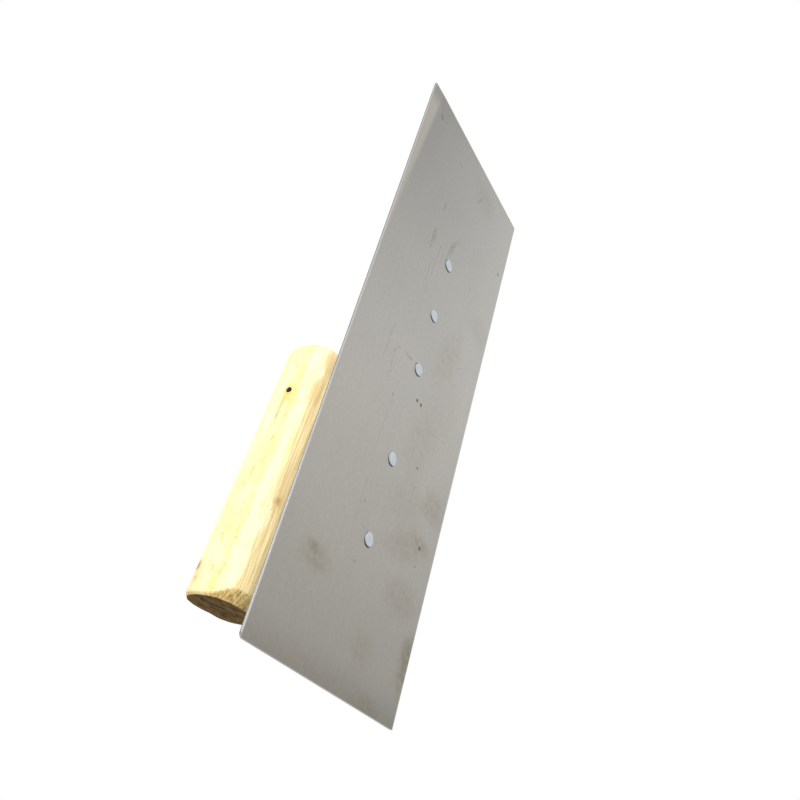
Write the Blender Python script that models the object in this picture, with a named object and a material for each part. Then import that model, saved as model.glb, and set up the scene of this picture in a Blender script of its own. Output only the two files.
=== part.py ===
"""Rectangular plastering trowel: a thin steel blade riveted to a flat spine bar, a flat upright
shank welded on the bar, and a wooden handle sawn and pinned on the shank's tang.

Frame: +X points to the toe of the blade, +Y across it, +Z from the working face up to the handle.
The origin is at the centre of the blade, on the working face. Lengths are in metres.
"""

import math

import bmesh
import bpy
from mathutils import Vector

# Blade
BLADE_LENGTH = 0.280
BLADE_WIDTH = 0.100
BLADE_THICKNESS = 0.0014
BLADE_CORNER_RADIUS = 0.0012

# Spine bar, riveted along the middle of the blade's back
SPINE_WIDTH = 0.020
SPINE_THICKNESS = 0.003
SPINE_END_MARGIN = 0.012

# Rivets, each placed by its distance from the heel edge of the blade
RIVET_SETBACKS = (0.0589, 0.0959, 0.1424, 0.1734, 0.2048)
RIVET_SHANK_RADIUS = 0.0020
RIVET_FACE_RADIUS = 0.0032
RIVET_SINK_DEPTH = 0.0009
RIVET_DOME_RADIUS = 0.0037
RIVET_DOME_HEIGHT = 0.0018

# Handle, a rounded rectangle in section, a little smaller at the toe end
HANDLE_LENGTH = 0.127
HANDLE_WIDTH = 0.0348
HANDLE_HEIGHT = 0.0293
HANDLE_CORNER_RADIUS = 0.0127
HANDLE_TOE_SCALE = 0.98
HANDLE_HEEL_SETBACK = 0.0261
FINGER_SPACE_HEEL = 0.0475
FINGER_SPACE_TOE = 0.0420
HEEL_CHAMFER_INSET = 0.0015
HEEL_CHAMFER_LENGTH = 0.0045
TOE_ROUND_INSET = 0.0025
TOE_ROUND_LENGTH = 0.0045

# Shank, one flat plate standing on edge: a foot, a neck and a tang
SHANK_THICKNESS = 0.005
SHANK_FOOT_MARGIN = 0.0022
NECK_LENGTH_AT_HANDLE = 0.022
TANG_LENGTH = 0.044
TANG_HEIGHT = 0.0125
TANG_DEPTH_IN_HANDLE = 0.0175
TANG_TOE_MARGIN = 0.0022

# Weld beads and the pin
WELD_LEG = 0.0035
WELD_END_MARGIN = 0.001
PIN_RADIUS = 0.0013
PIN_TOE_SETBACK = 0.0277
PIN_AXIS_DROP = 0.0024
PIN_SUNK_DEPTH = 0.0006

# Clearance between pieces that touch, and how far a cutter runs past what it cuts
GAP = 0.0003
CUTTER_OVERRUN = 0.002

ROUND_SEGMENTS = 24
CORNER_STEPS = 7
NECK_STEPS = 10

# Places worked out from the sizes above
HEEL_X = -BLADE_LENGTH / 2
SPINE_BOTTOM_Z = BLADE_THICKNESS + GAP
SPINE_TOP_Z = SPINE_BOTTOM_Z + SPINE_THICKNESS
RIVET_XS = [HEEL_X + setback for setback in RIVET_SETBACKS]
HANDLE_HEEL_X = HEEL_X + HANDLE_HEEL_SETBACK
HANDLE_TOE_X = HANDLE_HEEL_X + HANDLE_LENGTH
PIN_X = HANDLE_TOE_X - PIN_TOE_SETBACK


def handle_share(x):
    """How far x lies along the handle: 0 at the heel end, 1 at the toe end."""
    return (x - HANDLE_HEEL_X) / HANDLE_LENGTH


def handle_scale(x):
    """The size of the handle's section at x, against its size at the heel."""
    return 1 + (HANDLE_TOE_SCALE - 1) * handle_share(x)


def handle_axis_z(x):
    """The height of the middle of the handle at x."""
    heel = FINGER_SPACE_HEEL + HANDLE_HEIGHT / 2
    toe = FINGER_SPACE_TOE + HANDLE_HEIGHT * HANDLE_TOE_SCALE / 2
    return heel + (toe - heel) * handle_share(x)


def handle_underside_z(x):
    """The height of the handle's flat underside at x."""
    return handle_axis_z(x) - HANDLE_HEIGHT * handle_scale(x) / 2


def tang_top_z(x):
    """The height of the tang's top edge at x."""
    return handle_underside_z(x) + TANG_DEPTH_IN_HANDLE


PIN_Z = handle_axis_z(PIN_X) - PIN_AXIS_DROP


def clear_scene():
    for thing in list(bpy.data.objects):
        bpy.data.objects.remove(thing, do_unlink=True)


def make_material(name, colour, roughness, metallic):
    material = bpy.data.materials.new(name)
    material.use_nodes = True
    shader = material.node_tree.nodes["Principled BSDF"]
    shader.inputs["Base Color"].default_value = (*colour, 1.0)
    shader.inputs["Roughness"].default_value = roughness
    shader.inputs["Metallic"].default_value = metallic
    return material


def make_object(name, mesh_maker, material=None):
    """A new object from a bmesh, with its faces turned outwards."""
    bmesh.ops.recalc_face_normals(mesh_maker, faces=mesh_maker.faces)
    mesh = bpy.data.meshes.new(name)
    mesh_maker.to_mesh(mesh)
    mesh_maker.free()
    thing = bpy.data.objects.new(name, mesh)
    bpy.context.collection.objects.link(thing)
    if material is not None:
        mesh.materials.append(material)
    return thing


def shade_round(thing, sharp_degrees=35):
    thing.data.shade_smooth()
    thing.data.set_sharp_from_angle(angle=math.radians(sharp_degrees))


def subtract(thing, cutter):
    """Cut one object by another, and leave the cutter as a hidden guide."""
    cutter.hide_render = True
    cutter.display_type = "WIRE"
    cut = thing.modifiers.new("Cut by " + cutter.name, "BOOLEAN")
    cut.operation = "DIFFERENCE"
    cut.solver = "EXACT"
    cut.object = cutter


def rounded_rectangle(length, width, radius, steps=CORNER_STEPS):
    """Corner points of a rounded rectangle about the origin, anticlockwise."""
    radius = min(radius, length / 2 * 0.999, width / 2 * 0.999)
    centres = (
        (length / 2 - radius, width / 2 - radius),
        (radius - length / 2, width / 2 - radius),
        (radius - length / 2, radius - width / 2),
        (length / 2 - radius, radius - width / 2),
    )
    points = []
    for corner, (centre_x, centre_y) in enumerate(centres):
        for step in range(steps + 1):
            angle = math.pi / 2 * (corner + step / steps)
            points.append((centre_x + radius * math.cos(angle), centre_y + radius * math.sin(angle)))
    return points


def extruded(points, along):
    """A bmesh prism: a flat outline of 3-D points, pushed along a vector."""
    mesh_maker = bmesh.new()
    face = mesh_maker.faces.new([mesh_maker.verts.new(point) for point in points])
    pushed = bmesh.ops.extrude_face_region(mesh_maker, geom=[face])["geom"]
    bmesh.ops.translate(mesh_maker, vec=along, verts=[v for v in pushed if isinstance(v, bmesh.types.BMVert)])
    return mesh_maker


def turned(profile, centre_x):
    """A bmesh turned about a vertical axis at centre_x, from (radius, height) points, closed on the axis."""
    mesh_maker = bmesh.new()
    verts = [mesh_maker.verts.new((centre_x + radius, 0, height)) for radius, height in profile]
    edges = [mesh_maker.edges.new(pair) for pair in zip(verts, verts[1:])]
    bmesh.ops.spin(
        mesh_maker, geom=verts + edges, cent=(centre_x, 0, 0), axis=(0, 0, 1),
        angle=math.tau, steps=ROUND_SEGMENTS, use_merge=True,
    )
    bmesh.ops.remove_doubles(mesh_maker, verts=mesh_maker.verts, dist=1e-6)
    return mesh_maker


def cross_rod(radius, half_length):
    """A bmesh rod along Y, on the axis of the pin."""
    ring = [
        (PIN_X + radius * math.cos(turn), -half_length, PIN_Z + radius * math.sin(turn))
        for turn in [math.tau * step / ROUND_SEGMENTS for step in range(ROUND_SEGMENTS)]
    ]
    return extruded(ring, Vector((0, 2 * half_length, 0)))


def rivet_profile(clearance, bottom_z, top_z):
    """The countersunk head and the straight shank of a rivet, grown by a clearance all round."""
    face_radius = RIVET_FACE_RADIUS + clearance
    shank_radius = RIVET_SHANK_RADIUS + clearance
    spread = RIVET_FACE_RADIUS - RIVET_SHANK_RADIUS
    slant = math.hypot(spread, RIVET_SINK_DEPTH)
    cone_lift = clearance * (slant - RIVET_SINK_DEPTH) / spread
    return [
        (0, bottom_z),
        (face_radius, bottom_z),
        (face_radius, cone_lift),
        (shank_radius, RIVET_SINK_DEPTH + cone_lift),
        (shank_radius, top_z),
        (0, top_z),
    ]


def drill_rivet_holes(thing):
    top_z = SPINE_TOP_Z + CUTTER_OVERRUN
    for number, x in enumerate(RIVET_XS, start=1):
        profile = rivet_profile(GAP, -CUTTER_OVERRUN, top_z)
        subtract(thing, make_object(f"{thing.name}_drill_{number}", turned(profile, x)))


def build_blade(material):
    outline = rounded_rectangle(BLADE_LENGTH, BLADE_WIDTH, BLADE_CORNER_RADIUS, steps=3)
    points = [(x, y, 0) for x, y in outline]
    blade = make_object("blade", extruded(points, Vector((0, 0, BLADE_THICKNESS))), material)
    drill_rivet_holes(blade)
    return blade


def build_spine_bar(material):
    first_x = RIVET_XS[0] - SPINE_END_MARGIN
    last_x = RIVET_XS[-1] + SPINE_END_MARGIN
    middle_x = (first_x + last_x) / 2
    outline = rounded_rectangle(last_x - first_x, SPINE_WIDTH, SPINE_WIDTH / 2)
    points = [(middle_x + x, y, SPINE_BOTTOM_Z) for x, y in outline]
    spine = make_object("spine_bar", extruded(points, Vector((0, 0, SPINE_THICKNESS))), material)
    drill_rivet_holes(spine)
    return spine


def build_rivet(number, x, material):
    dome_base_z = SPINE_TOP_Z + GAP
    profile = rivet_profile(0, 0, dome_base_z)[1:-1]
    profile = [(0, 0)] + profile + [(RIVET_DOME_RADIUS, dome_base_z)]
    dome_steps = 5
    for step in range(1, dome_steps + 1):
        angle = math.pi / 2 * step / dome_steps
        radius = RIVET_DOME_RADIUS * math.cos(angle) if step < dome_steps else 0
        profile.append((radius, dome_base_z + RIVET_DOME_HEIGHT * math.sin(angle)))
    profile = [point for index, point in enumerate(profile) if index == 0 or point != profile[index - 1]]
    rivet = make_object(f"rivet_{number}", turned(profile, x), material)
    shade_round(rivet)
    return rivet


def shank_foot_ends():
    """The two ends of the shank's foot, which stands between the third and the fourth rivet."""
    clear = RIVET_DOME_RADIUS + SHANK_FOOT_MARGIN
    return RIVET_XS[2] + clear, RIVET_XS[3] - clear


def neck_edge(foot_x, top_x, top_z):
    """One edge of the neck, an S curve from the foot up to the handle."""
    foot_z = SPINE_TOP_Z + GAP
    points = []
    for step in range(NECK_STEPS + 1):
        share = step / NECK_STEPS
        eased = share * share * (3 - 2 * share)
        points.append((foot_x + (top_x - foot_x) * eased, foot_z + (top_z - foot_z) * share))
    return points


def build_shank(material):
    foot_rear_x, foot_front_x = shank_foot_ends()
    front_x = HANDLE_TOE_X - TANG_TOE_MARGIN
    neck_rear_x = front_x - NECK_LENGTH_AT_HANDLE
    tang_rear_x = front_x - TANG_LENGTH
    front = neck_edge(foot_front_x, front_x, handle_underside_z(front_x))
    rear = neck_edge(foot_rear_x, neck_rear_x, tang_top_z(neck_rear_x) - TANG_HEIGHT)
    outline = front
    outline += [(front_x, tang_top_z(front_x)), (tang_rear_x, tang_top_z(tang_rear_x))]
    outline += [(tang_rear_x, tang_top_z(tang_rear_x) - TANG_HEIGHT)]
    outline += rear[::-1]
    points = [(x, -SHANK_THICKNESS / 2, z) for x, z in outline]
    shank = make_object("shank", extruded(points, Vector((0, SHANK_THICKNESS, 0))), material)
    subtract(shank, make_object("shank_pin_drill", cross_rod(PIN_RADIUS + GAP, SHANK_THICKNESS)))
    return shank


def build_weld(name, side, material):
    """A fillet bead along one side of the shank's foot."""
    rear_x, front_x = shank_foot_ends()
    wall_y = SHANK_THICKNESS / 2 + GAP
    floor_z = SPINE_TOP_Z + GAP
    bulge = WELD_LEG * 0.62
    section = [
        (wall_y, floor_z),
        (wall_y + WELD_LEG, floor_z),
        (wall_y + bulge, floor_z + bulge),
        (wall_y, floor_z + WELD_LEG),
    ]
    points = [(rear_x + WELD_END_MARGIN, side * y, z) for y, z in section]
    length = front_x - rear_x - 2 * WELD_END_MARGIN
    return make_object(name, extruded(points, Vector((length, 0, 0))), material)


def handle_ring(mesh_maker, x, inset):
    """One ring of the handle's section at x, pulled in by an inset."""
    width = HANDLE_WIDTH * handle_scale(x) - 2 * inset
    height = HANDLE_HEIGHT * handle_scale(x) - 2 * inset
    section = rounded_rectangle(width, height, HANDLE_CORNER_RADIUS * handle_scale(x) - inset / 2)
    return [mesh_maker.verts.new((x, y, handle_axis_z(x) + z)) for y, z in section]


def build_handle(material):
    stations = [(HANDLE_HEEL_X, HEEL_CHAMFER_INSET), (HANDLE_HEEL_X + HEEL_CHAMFER_LENGTH, 0)]
    round_steps = 4
    for step in range(round_steps + 1):
        angle = math.pi / 2 * step / round_steps
        x = HANDLE_TOE_X - TOE_ROUND_LENGTH * (1 - math.sin(angle))
        stations.append((x, TOE_ROUND_INSET * (1 - math.cos(angle))))
    mesh_maker = bmesh.new()
    rings = [handle_ring(mesh_maker, x, inset) for x, inset in stations]
    for ring, next_ring in zip(rings, rings[1:]):
        for index in range(len(ring)):
            after = (index + 1) % len(ring)
            mesh_maker.faces.new((ring[index], ring[after], next_ring[after], next_ring[index]))
    mesh_maker.faces.new(rings[0])
    mesh_maker.faces.new(rings[-1])
    handle = make_object("handle", mesh_maker, material)
    shade_round(handle)
    subtract(handle, build_kerf())
    half_length = HANDLE_WIDTH / 2 + CUTTER_OVERRUN
    subtract(handle, make_object("handle_pin_drill", cross_rod(PIN_RADIUS + GAP, half_length)))
    return handle


def build_kerf():
    """The saw cut in the handle's underside and toe end that the tang sits in."""
    rear_x = HANDLE_TOE_X - TANG_TOE_MARGIN - TANG_LENGTH - GAP
    front_x = HANDLE_TOE_X + CUTTER_OVERRUN
    floor_z = handle_underside_z(front_x) - CUTTER_OVERRUN
    half_width = SHANK_THICKNESS / 2 + GAP
    outline = [
        (rear_x, floor_z),
        (front_x, floor_z),
        (front_x, tang_top_z(front_x) + GAP),
        (rear_x, tang_top_z(rear_x) + GAP),
    ]
    points = [(x, -half_width, z) for x, z in outline]
    return make_object("handle_kerf", extruded(points, Vector((0, 2 * half_width, 0))))


def build_tang_pin(material):
    half_length = HANDLE_WIDTH * handle_scale(PIN_X) / 2 - PIN_SUNK_DEPTH
    pin = make_object("tang_pin", cross_rod(PIN_RADIUS, half_length), material)
    shade_round(pin)
    return pin


def main():
    clear_scene()
    blade_steel = make_material("Blade steel", (0.40, 0.39, 0.37), 0.42, 1.0)
    bar_steel = make_material("Bar steel", (0.30, 0.30, 0.30), 0.50, 1.0)
    shank_steel = make_material("Shank steel", (0.24, 0.24, 0.25), 0.55, 1.0)
    weld_steel = make_material("Weld steel", (0.20, 0.19, 0.18), 0.60, 1.0)
    rivet_metal = make_material("Rivet metal", (0.58, 0.60, 0.65), 0.35, 1.0)
    pin_steel = make_material("Rusty pin", (0.10, 0.06, 0.05), 0.80, 0.6)
    wood = make_material("Pale wood", (0.80, 0.62, 0.36), 0.60, 0.0)
    build_blade(blade_steel)
    build_spine_bar(bar_steel)
    for number, x in enumerate(RIVET_XS, start=1):
        build_rivet(number, x, rivet_metal)
    build_shank(shank_steel)
    build_weld("weld_left", -1, weld_steel)
    build_weld("weld_right", 1, weld_steel)
    build_handle(wood)
    build_tang_pin(pin_steel)


main()
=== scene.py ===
# %% [markdown]
# # A plastering trowel, piece by piece
#
# This lesson dresses the fixed frame of a plastering trowel. The frame gives every piece its place
# and its size. Here each piece is made again with the detail that the eye looks for: rounded
# edges, peened rivets, rippled weld, sawn and rasped wood. Then each gets a material made of nodes.

# %% Load the frame
import math

import bmesh
import bpy
from mathutils import Matrix, Vector, noise


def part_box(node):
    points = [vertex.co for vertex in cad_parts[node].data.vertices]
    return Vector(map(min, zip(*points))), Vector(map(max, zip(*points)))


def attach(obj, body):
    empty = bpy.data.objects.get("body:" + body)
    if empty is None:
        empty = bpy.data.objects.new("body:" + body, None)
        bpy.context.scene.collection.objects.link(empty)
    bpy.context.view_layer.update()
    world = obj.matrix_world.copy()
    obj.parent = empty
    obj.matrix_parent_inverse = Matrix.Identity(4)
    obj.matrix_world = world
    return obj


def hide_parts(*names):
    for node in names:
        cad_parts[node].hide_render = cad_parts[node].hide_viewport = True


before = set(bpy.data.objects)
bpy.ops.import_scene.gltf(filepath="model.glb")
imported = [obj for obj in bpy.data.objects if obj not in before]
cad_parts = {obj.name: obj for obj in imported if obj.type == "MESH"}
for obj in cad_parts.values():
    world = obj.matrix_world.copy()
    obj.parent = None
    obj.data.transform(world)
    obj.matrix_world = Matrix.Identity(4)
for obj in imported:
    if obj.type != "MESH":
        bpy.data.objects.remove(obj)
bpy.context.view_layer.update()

# %% [markdown]
# ## Helpers for making pieces
#
# Each piece is a bmesh that is shaped by operators and then stored in a mesh. The normals are
# recalculated once the shape is closed, because a spin or a mirror can leave it inside out. Every
# piece then rides on the one rigid body, hides the frame's part for its node, and takes its finish
# from a slot.

# %% Helpers: from a bmesh to a finished piece
MM = 0.001
NO_DISTANCE = 1e-7
MERGE_DISTANCE = 1e-6


def to_object(maker, name):
    """Stores a closed bmesh in a new object at the origin."""
    bmesh.ops.recalc_face_normals(maker, faces=maker.faces)
    mesh = bpy.data.meshes.new(name)
    maker.to_mesh(mesh)
    maker.free()
    thing = bpy.data.objects.new(name, mesh)
    bpy.context.scene.collection.objects.link(thing)
    return thing


def finish_piece(thing, node, smooth_degrees=40, flat_axis=None):
    """Shades a piece round, keeps faces square to one axis flat, puts it on the body and hides its
    node's part.
    """
    thing.data.shade_smooth()
    thing.data.set_sharp_from_angle(angle=math.radians(smooth_degrees))
    if flat_axis is not None:
        for face in thing.data.polygons:
            if abs(face.normal[flat_axis]) > 0.9995:
                face.use_smooth = False
    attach(thing, "root")
    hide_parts(node)
    print(f"{thing.name}: {len(thing.data.polygons)} faces")
    return thing


def cut(thing, cutter_maker):
    """Takes a cutter out of a piece for good, so that no modifier is left on it."""
    cutter = to_object(cutter_maker, "cutter")
    step = thing.modifiers.new("Cut", "BOOLEAN")
    step.operation = "DIFFERENCE"
    step.solver = "EXACT"
    step.object = cutter
    seen = thing.evaluated_get(bpy.context.evaluated_depsgraph_get())
    carved = bpy.data.meshes.new_from_object(seen)
    thing.modifiers.remove(step)
    old = thing.data
    thing.data = carved
    carved.name = thing.name
    bpy.data.meshes.remove(old)
    bpy.data.objects.remove(cutter)


def block(low, high):
    """A box from its lowest corner to its highest."""
    maker = bmesh.new()
    bmesh.ops.create_cube(maker, size=1)
    bmesh.ops.scale(maker, vec=high - low, verts=maker.verts)
    bmesh.ops.translate(maker, vec=(low + high) / 2, verts=maker.verts)
    return maker


def bevel(maker, edges, offset, segments):
    """Rounds the given edges."""
    bmesh.ops.bevel(
        maker, geom=edges, offset=offset, segments=segments, profile=0.5,
        affect="EDGES", material=-1, clamp_overlap=True,
    )


def slice_at(maker, point, normal):
    """Adds a loop of edges where a plane crosses the shape."""
    everything = maker.verts[:] + maker.edges[:] + maker.faces[:]
    bmesh.ops.bisect_plane(maker, geom=everything, dist=NO_DISTANCE, plane_co=point, plane_no=normal)


def edges_along(maker, axis):
    """The straight edges that run along one axis: 0 is X, 1 is Y and 2 is Z."""
    found = []
    for edge in maker.edges:
        run = (edge.verts[1].co - edge.verts[0].co).normalized()
        if abs(run[axis]) > 0.999:
            found.append(edge)
    return found


def edges_level_in(maker, axis):
    """The edges whose two ends are equally far along one axis."""
    found = []
    for edge in maker.edges:
        start, end = edge.verts
        if abs(start.co[axis] - end.co[axis]) < NO_DISTANCE:
            found.append(edge)
    return found


# %% [markdown]
# ## The camera
#
# The trowel is seen from below, from beyond its heel and its left edge, so that the working face
# fills the picture and the handle shows past the long left edge. The lens is a little wide and the
# camera is near, which is why the far end of the blade looks so much narrower than the near end.

# %% Camera
CAMERA_PLACE = Vector((-0.20053, -0.24198, -0.18330))
CAMERA_FORWARD = Vector((0.50376, 0.68522, 0.52602))
CAMERA_UP = Vector((0.82856, -0.55553, -0.06984))
CAMERA_LENS = 36.971
CAMERA_SENSOR = 36
CLIP_START = 0.01
CAMERA_SHIFT_Y = 0.02092

camera_data = bpy.data.cameras.new("Camera")
camera_data.lens = CAMERA_LENS
camera_data.sensor_width = CAMERA_SENSOR
camera_data.shift_y = CAMERA_SHIFT_Y
camera_data.clip_start = CLIP_START
camera = bpy.data.objects.new("Camera", camera_data)
bpy.context.scene.collection.objects.link(camera)
camera_right = CAMERA_FORWARD.cross(CAMERA_UP).normalized()
camera_up = camera_right.cross(CAMERA_FORWARD).normalized()
camera_turn = Matrix((camera_right, camera_up, -CAMERA_FORWARD.normalized())).transposed()
camera.matrix_world = Matrix.Translation(CAMERA_PLACE) @ camera_turn.to_4x4()
bpy.context.scene.camera = camera
print("camera stands", round(CAMERA_PLACE.length, 3), "m from the middle of the blade")

# %% [markdown]
# ## The blade
#
# The real blade is one sheet of steel, rolled, sheared to a rectangle and ground. Its long edges
# are never quite straight after some use, the left heel corner is worn round, and the front part
# of the left edge is ground to a shallow lip. A flat box would do for the shape, but not for the
# light on its rims. So it starts as a block, bevels round its corners and rims, planes slice it
# across so that its edges can wander a little, and one slanting plane marks where the lip begins.

# %% Blade sizes
blade_low, blade_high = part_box("blade")
blade_thickness = blade_high.z - blade_low.z
blade_length = blade_high.x - blade_low.x
LEFT_HEEL_CORNER = 2.0 * MM
RIGHT_TOE_CORNER = 0.4 * MM
OTHER_CORNERS = 0.12 * MM
RIM_ROUND = 0.25 * MM
EDGE_WANDER = 0.12 * MM
BLADE_SLICES = 70
LIP_START = Vector((blade_low.x + 179 * MM, blade_low.y, 0))
LIP_END = Vector((blade_high.x, blade_low.y + 7.6 * MM, 0))
LIP_SLOPE = math.tan(math.radians(2.4))

lip_run = (LIP_END - LIP_START).normalized()
lip_outward = Vector((lip_run.y, -lip_run.x, 0))
print("blade:", round(blade_length / MM, 1), "mm long and", round(blade_thickness / MM, 2), "mm thick")

# %% Blade block, corners and rims
blade_maker = block(blade_low, blade_high)


def blade_corners(*spots):
    """The upright edges at some corners, given as heel or toe (-1, 1) and left or right (-1, 1)."""
    found = []
    for edge in edges_along(blade_maker, 2):
        for end, side in spots:
            corner = Vector((end * blade_high.x, side * blade_high.y, edge.verts[0].co.z))
            if (edge.verts[0].co - corner).length < MM / 100:
                found.append(edge)
    return found


bevel(blade_maker, blade_corners((-1, -1)), LEFT_HEEL_CORNER, 6)
bevel(blade_maker, blade_corners((1, 1)), RIGHT_TOE_CORNER, 4)
bevel(blade_maker, blade_corners((-1, 1), (1, -1)), OTHER_CORNERS, 2)
bevel(blade_maker, edges_level_in(blade_maker, 2), RIM_ROUND, 3)
print("blade block:", len(blade_maker.faces), "faces")

# %% Blade slices, wandering edges and the ground lip
SLOW_WANDER = 70
QUICK_WANDER = 310
for number in range(1, BLADE_SLICES):
    x = blade_low.x + blade_length * number / BLADE_SLICES
    slice_at(blade_maker, Vector((x, 0, 0)), Vector((1, 0, 0)))
slice_at(blade_maker, LIP_START, lip_outward)
for vert in blade_maker.verts:
    if vert.co.z < blade_thickness * 0.4:
        past_lip = (vert.co - LIP_START).dot(lip_outward)
        vert.co.z += LIP_SLOPE * max(0.0, past_lip)
    inward = -1 if vert.co.y > 0 else 1
    slow = 0.5 + 0.5 * noise.noise(Vector((vert.co.x * SLOW_WANDER, inward * 3.1, 0.7)))
    quick = 0.5 + 0.5 * noise.noise(Vector((vert.co.x * QUICK_WANDER, inward * 5.3, 2.9)))
    near_edge = min(1.0, abs(vert.co.y) / blade_high.y)
    vert.co.y += inward * near_edge * EDGE_WANDER * (0.75 * slow + 0.25 * quick)
print("blade block after slicing:", len(blade_maker.faces), "faces")

# %% [markdown]
# ## The rivet holes
#
# Each rivet has a cone under its face, so the hole in the blade is countersunk to match. A drilled
# mesh could be drawn ring by ring, but one turned cutter makes hole and cone at once, and the same
# cutter serves the bar behind. The rivets stand where the frame has them.

# %% Rivet places and the countersunk cutter
RIVET_NODES = [f"rivet_{number}" for number in range(1, 6)]
rivet_xs = [(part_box(node)[0].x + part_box(node)[1].x) / 2 for node in RIVET_NODES]
spine_low, spine_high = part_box("spine_bar")
rivet_low, rivet_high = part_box("rivet_1")
HOLE_GAP = 0.12 * MM
FACE_RADIUS = 3.15 * MM
SINK_DEPTH = 0.9 * MM
STEM_RADIUS = 2.0 * MM
ROUND_STEPS = 64
print("rivets at x:", [round(x / MM, 1) for x in rivet_xs], "mm")


def turned(profile, centre_x):
    """Spins a line of (radius, height) points round a vertical axis."""
    maker = bmesh.new()
    verts = [maker.verts.new((centre_x + radius, 0, height)) for radius, height in profile]
    edges = [maker.edges.new(pair) for pair in zip(verts, verts[1:])]
    bmesh.ops.spin(
        maker, geom=verts + edges, cent=(centre_x, 0, 0), axis=(0, 0, 1),
        angle=math.tau, steps=ROUND_STEPS, use_merge=True,
    )
    bmesh.ops.remove_doubles(maker, verts=maker.verts, dist=MERGE_DISTANCE)
    return maker


def rivet_hole(x):
    """The cutter for one rivet: a cone below and a straight hole above."""
    face = FACE_RADIUS + HOLE_GAP
    stem = STEM_RADIUS + HOLE_GAP
    top = spine_high.z + MM
    return turned([(0, -MM), (face, -MM), (face, 0), (stem, SINK_DEPTH), (stem, top), (0, top)], x)


blade = to_object(blade_maker, "blade_sheet")
for x in rivet_xs:
    cut(blade, rivet_hole(x))
finish_piece(blade, "blade", flat_axis=2)

# %% [markdown]
# ## The spine bar
#
# A flat bar lies along the middle of the blade's back and spreads the load. Its ends are rounded
# in plan, and the five rivets pass through it. It is a block too: one wide bevel on its upright
# edges makes the round ends, and a narrow one breaks the rims.

# %% Spine bar
BAR_END_ROUND = 0.99
BAR_RIM_ROUND = 0.45 * MM
spine_maker = block(spine_low, spine_high)
spine_half_width = (spine_high.y - spine_low.y) / 2
bevel(spine_maker, edges_along(spine_maker, 2), spine_half_width * BAR_END_ROUND, 16)
bevel(spine_maker, edges_level_in(spine_maker, 2), BAR_RIM_ROUND, 3)
spine = to_object(spine_maker, "spine_flat_bar")
for x in rivet_xs:
    cut(spine, rivet_hole(x))
finish_piece(spine, "spine_bar", flat_axis=2)

# %% [markdown]
# ## The rivets
#
# A rivet is turned in one profile: a face that stands a hair above the working face and has a worn
# round rim, the countersink, the stem, and the dome that was hammered over on the spine bar. A
# turned face is too perfect, so its rim is then dented a little. A flat map, laid on from below,
# lets one material follow every rivet's own centre.

# %% Rivet profile
FACE_PROUD = 0.34 * MM
FACE_SLOPE = 0.50 * MM
RIM_DENT = 0.11
dome_base_z = spine_high.z + 0.05 * MM
dome_radius = (rivet_high.x - rivet_low.x) / 2
dome_height = rivet_high.z - dome_base_z


def rivet_profile():
    """The outline of half a rivet, from the middle of its face to the top of its dome."""
    points = [(0, -FACE_PROUD * 1.08), (FACE_RADIUS * 0.55, -FACE_PROUD)]
    for step in range(5):
        angle = math.pi / 2 * step / 4
        radius = FACE_RADIUS - FACE_SLOPE + FACE_SLOPE * math.sin(angle)
        points.append((radius, -FACE_PROUD + (FACE_PROUD + 0.1 * MM) * (1 - math.cos(angle))))
    points += [(STEM_RADIUS, SINK_DEPTH + 0.3 * MM), (STEM_RADIUS, dome_base_z)]
    points.append((dome_radius * 0.97, dome_base_z))
    for step in range(9):
        angle = math.pi / 2 * step / 8
        radius = dome_radius * math.cos(angle) if step < 8 else 0
        points.append((radius, dome_base_z + dome_height * (0.12 + 0.88 * math.sin(angle))))
    return points


print("rivet profile:", len(rivet_profile()), "points")


# %% Rivets
def add_face_map(thing, centre_x):
    """A map in which the rivet's face is a disc of radius 1 round the middle."""
    layer = thing.data.uv_layers.new(name="face_map")
    for loop in thing.data.loops:
        place = thing.data.vertices[loop.vertex_index].co
        layer.data[loop.index].uv = ((place.x - centre_x) / FACE_RADIUS, place.y / FACE_RADIUS)


def dent_rim(maker, centre_x, seed):
    """Hammering leaves a face that is not quite round: its rim is pressed in here and there."""
    for vert in maker.verts:
        if vert.co.z < SINK_DEPTH / 3:
            turn = math.atan2(vert.co.y, vert.co.x - centre_x)
            press = noise.noise(Vector((1.3 * math.cos(turn), 1.3 * math.sin(turn), 5.7 * seed)))
            size = 1 - RIM_DENT * min(1.0, max(0.0, 0.45 + press))
            vert.co.x = centre_x + (vert.co.x - centre_x) * size
            vert.co.y *= size


rivets = []
for seed, (node, x) in enumerate(zip(RIVET_NODES, rivet_xs)):
    rivet_maker = turned(rivet_profile(), x)
    dent_rim(rivet_maker, x, seed)
    rivet = to_object(rivet_maker, node + "_turned")
    add_face_map(rivet, x)
    rivets.append(finish_piece(rivet, node))

# %% [markdown]
# ## The shank
#
# The shank is cut from flat plate and stands on edge: a foot on the spine bar, a neck that sweeps
# back, and a tang that slides into the saw cut of the handle. One face is drawn from its outline,
# with the two sweeping edges worked out by a formula, and is then pushed to its thickness.

# %% Shank outline
shank_low, shank_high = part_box("shank")
weld_low, weld_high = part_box("weld_left")
WELD_SETBACK = 1.0 * MM
TANG_HEIGHT = 12.5 * MM
TANG_TOP_TO_NECK = 17.5 * MM
NECK_WIDTH = 22.0 * MM
NECK_TOE_MARGIN = 2.2 * MM
foot_rear_x = weld_low.x - WELD_SETBACK
foot_front_x = weld_high.x + WELD_SETBACK
handle_low, handle_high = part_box("handle")
handle_length = handle_high.x - handle_low.x
handle_slope = -5.8 / 127.0
neck_front_x = handle_high.x - NECK_TOE_MARGIN


def tang_top(x):
    """The height of the tang's upper edge, which slopes as the handle does."""
    return shank_high.z + (x - shank_low.x) * handle_slope


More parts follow.
